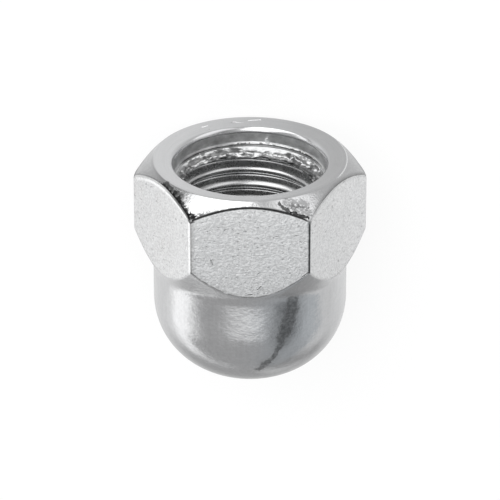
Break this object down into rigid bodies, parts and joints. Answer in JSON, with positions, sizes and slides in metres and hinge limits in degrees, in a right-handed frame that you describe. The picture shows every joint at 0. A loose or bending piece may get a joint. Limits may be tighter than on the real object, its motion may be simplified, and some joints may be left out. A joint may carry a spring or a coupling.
{
  "type": "cap nut",
  "caption": "Hexagon nut closed by a domed crown, tapped blind from its open face to cover and protect a bolt's end.",
  "frame": {"origin": "on the thread axis, in the plane of the open bearing face", "axes": "-Y along the thread axis out of the mouth, +Y through the top of the crown; the nut lies on the hexagon flat that faces -Z, with the opposite flat facing +Z"},
  "size_m": [0.0344, 0.0349, 0.03],
  "materials": {
    "plated_steel": "bright plated steel, satin on the flats and glossier on the crown, with small nicks and handling marks"
  },
  "bodies": {
    "root": {"cap_nut": "plated_steel"}
  },
  "joints": []
}
